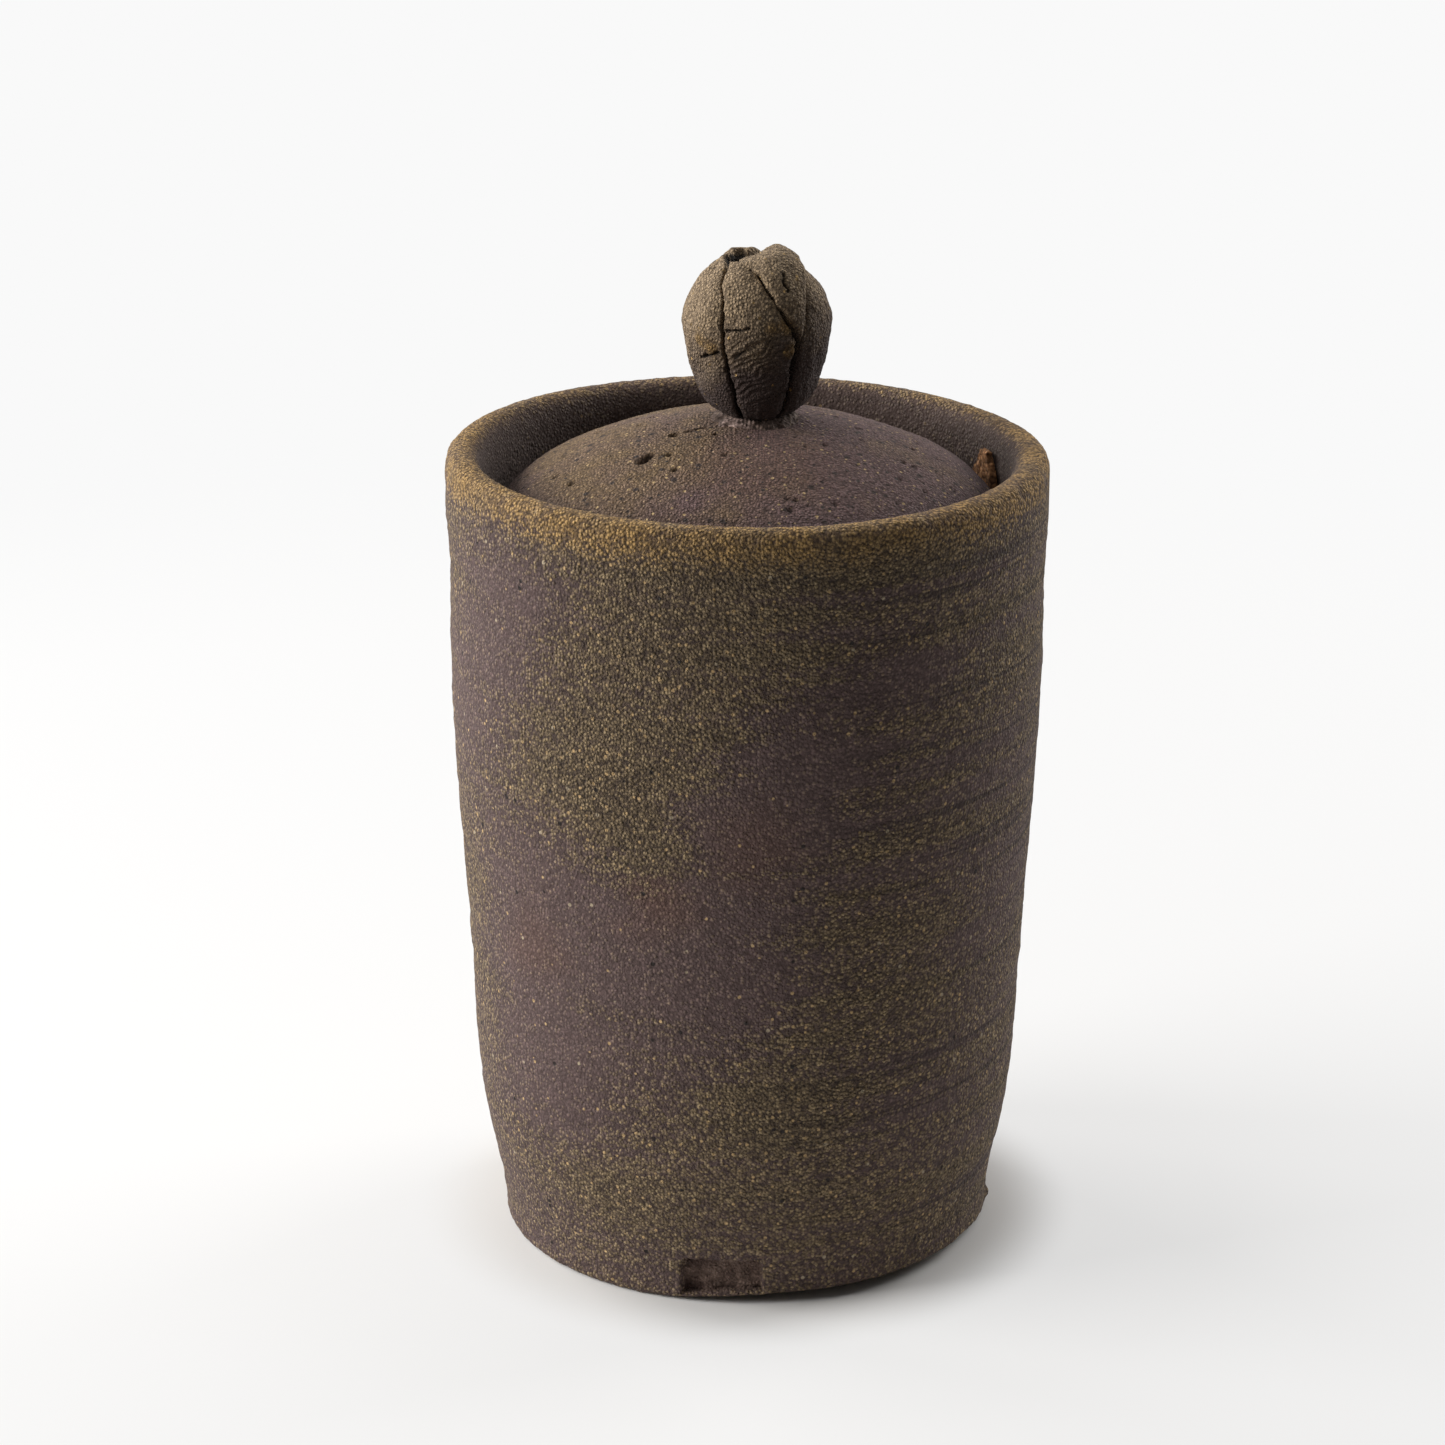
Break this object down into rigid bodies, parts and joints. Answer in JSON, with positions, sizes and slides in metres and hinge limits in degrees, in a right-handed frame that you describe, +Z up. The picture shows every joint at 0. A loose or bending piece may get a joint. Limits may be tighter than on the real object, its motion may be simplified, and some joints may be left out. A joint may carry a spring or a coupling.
{
  "type": "lidded seed jar",
  "caption": "Tall thrown stoneware jar with a gallery inside its rolled rim, a domed drop-in lid and a knob shaped like a split seed pod.",
  "frame": {"origin": "centre of the foot, on the surface that the jar stands on", "axes": "+Z up along the jar's axis, -Y towards the front of the jar"},
  "size_m": [0.08, 0.08, 0.1361],
  "materials": {
    "wall_stoneware": "unglazed wood-fired stoneware, matte and gritty, purple-brown with olive and gold ash",
    "lid_stoneware": "unglazed wood-fired stoneware, matte, fine grit with open pits",
    "pod_stoneware": "unglazed wood-fired stoneware, matte, wrinkled, ash on the crack edges",
    "luting_slip": "dry clay slip, matte and crusty",
    "wad_clay": "orange-brown refractory clay, matte and crumbly"
  },
  "bodies": {
    "jar": {"jar_body": "wall_stoneware", "kiln_wad": "wad_clay"},
    "lid": {"lid_dome": "lid_stoneware", "luting_slip": "luting_slip", "seed_core": "pod_stoneware", "seed_lobe_front": "pod_stoneware", "seed_lobe_cap": "pod_stoneware", "seed_lobe_right": "pod_stoneware", "seed_lobe_back": "pod_stoneware", "seed_lobe_back_left": "pod_stoneware", "seed_lobe_left": "pod_stoneware"}
  },
  "joints": [
    {"name": "lid_lift", "type": "slide", "parent": "jar", "child": "lid", "axis": [0, 0, 1], "range_m": [0, 0.06]}
  ]
}
